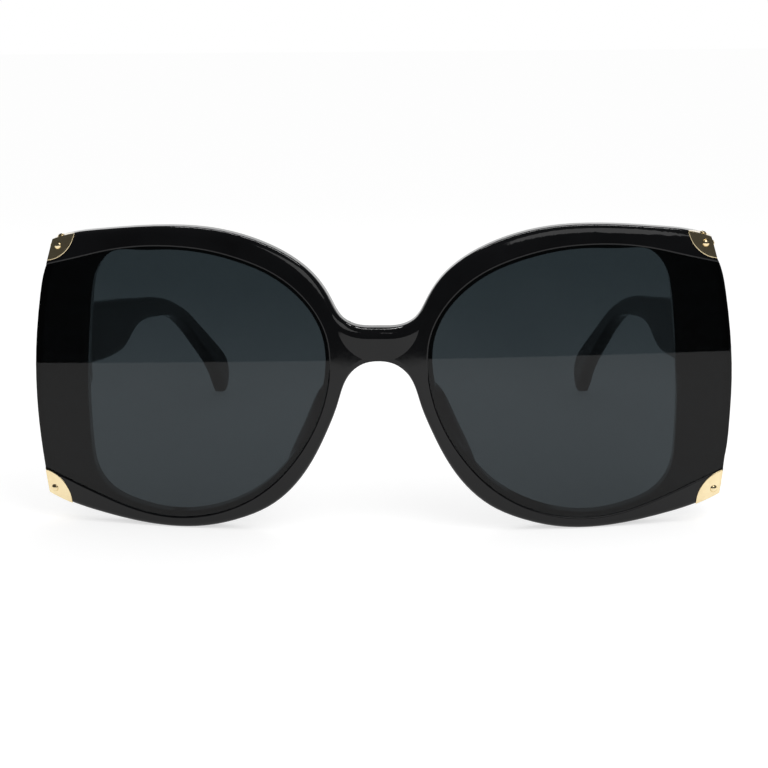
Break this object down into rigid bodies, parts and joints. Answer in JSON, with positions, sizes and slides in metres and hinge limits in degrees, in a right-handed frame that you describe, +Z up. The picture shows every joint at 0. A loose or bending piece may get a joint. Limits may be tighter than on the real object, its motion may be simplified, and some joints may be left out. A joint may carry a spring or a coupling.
{
  "type": "oversized sunglasses",
  "caption": "Oversized black sunglasses: dark lens plates let into a wide butterfly front, riveted gold corner plates, folding temples with ear hooks",
  "frame": {"origin": "centre of the bounding box at its base, on the surface that the lower rims and the temple tips rest on", "axes": "+X to the wearer's left, +Y back along the open temples away from the lenses, +Z up"},
  "size_m": [0.1484, 0.144, 0.0643],
  "materials": {
    "black_acetate": "polished black cellulose acetate",
    "tinted_lens": "dark grey tinted lens plastic, polished both sides",
    "polished_gold": "polished gold-tone plating",
    "hinge_metal": "satin nickel silver",
    "core_wire": "plain drawn wire"
  },
  "bodies": {
    "front": {"front_frame": "black_acetate", "lens_left": "tinted_lens", "corner_plate_upper_left": "polished_gold", "corner_plate_lower_left": "polished_gold", "corner_rivets_upper_left": "polished_gold", "corner_rivets_lower_left": "polished_gold", "nose_pad_left": "black_acetate", "hinge_front_leaf_left": "hinge_metal", "hinge_screw_left": "hinge_metal", "front_leaf_rivets_left": "hinge_metal", "lens_right": "tinted_lens", "corner_plate_upper_right": "polished_gold", "corner_plate_lower_right": "polished_gold", "corner_rivets_upper_right": "polished_gold", "corner_rivets_lower_right": "polished_gold", "nose_pad_right": "black_acetate", "hinge_front_leaf_right": "hinge_metal", "hinge_screw_right": "hinge_metal", "front_leaf_rivets_right": "hinge_metal"},
    "temple_left_body": {"temple_left": "black_acetate", "temple_core_left": "core_wire", "hinge_temple_leaf_left": "hinge_metal", "temple_leaf_rivets_left": "hinge_metal"},
    "temple_right_body": {"temple_right": "black_acetate", "temple_core_right": "core_wire", "hinge_temple_leaf_right": "hinge_metal", "temple_leaf_rivets_right": "hinge_metal"}
  },
  "joints": [
    {"name": "temple_left_fold", "type": "hinge", "parent": "front", "child": "temple_left_body", "pos_m": [0.0675, -0.05325, 0.0375], "axis": [0, 0, 1], "range_deg": [0, 82]},
    {"name": "temple_right_fold", "type": "hinge", "parent": "front", "child": "temple_right_body", "pos_m": [-0.0675, -0.05325, 0.0375], "axis": [0, 0, -1], "range_deg": [0, 75]}
  ]
}
